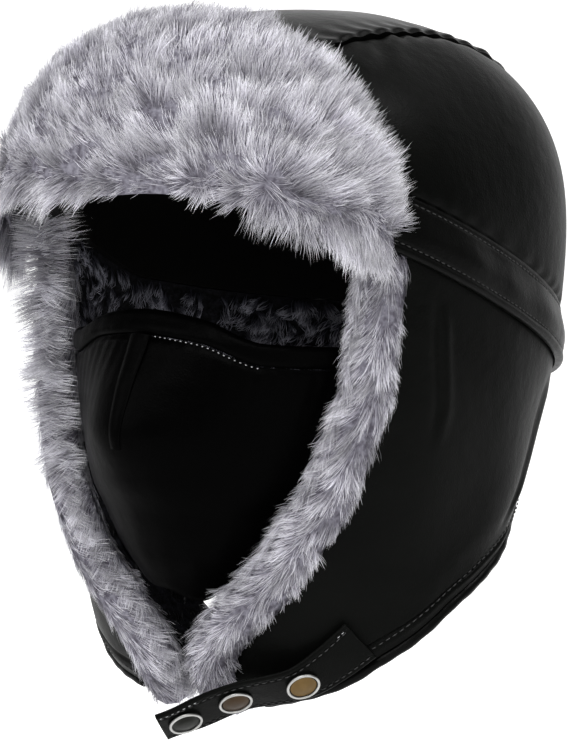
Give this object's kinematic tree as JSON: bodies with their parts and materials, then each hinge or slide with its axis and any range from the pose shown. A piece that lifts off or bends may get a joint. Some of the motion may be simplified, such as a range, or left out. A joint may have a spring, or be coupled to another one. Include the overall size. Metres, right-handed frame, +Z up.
{
  "type": "aviator hat",
  "caption": "Winter aviator hat: leather crown and long ear flaps, fur visor, fur trim round the face, buttoned-in face mask, and a chin strap with snaps.",
  "frame": {"origin": "top of the head hollow, on the crown lining, where the hat rests on a head", "axes": "the face opening looks along -Y, the wearer's left is +X, +Z is up"},
  "size_m": [0.2036, 0.2457, 0.284],
  "materials": {
    "leather_black": "soft satin nappa, near black",
    "satin_black": "smooth woven lining",
    "fur_grey": "long fur, light grey with a cool tint",
    "lining_grey": "short fur pile, dark grey",
    "snap_silver": "polished rim",
    "snap_bronze": "aged bronze cap",
    "snap_black": "black lacquer"
  },
  "bodies": {
    "root": {"crown_strip": "leather_black", "crown_side_left": "leather_black", "crown_side_right": "leather_black", "crown_band": "leather_black", "ear_flap_left": "leather_black", "ear_flap_right": "leather_black", "crown_lining": "satin_black", "flap_lining_left": "lining_grey", "flap_lining_right": "lining_grey", "visor_flap": "leather_black", "visor_fur": "fur_grey", "trim_fur_left": "fur_grey", "trim_fur_right": "fur_grey", "hem_piping_left": "leather_black", "hem_piping_right": "leather_black", "mask_body": "leather_black", "mask_band": "leather_black", "mask_dart": "leather_black", "mask_loop_left": "lining_grey", "mask_loop_right": "lining_grey", "mask_button_left": "snap_black", "mask_button_right": "snap_black", "mask_tab": "lining_grey", "chin_strap": "leather_black", "snap_ring_1": "snap_silver", "snap_cap_1": "snap_bronze", "snap_ring_2": "snap_silver", "snap_cap_2": "snap_bronze", "snap_ring_3": "snap_silver", "snap_cap_3": "snap_black"}
  },
  "joints": []
}
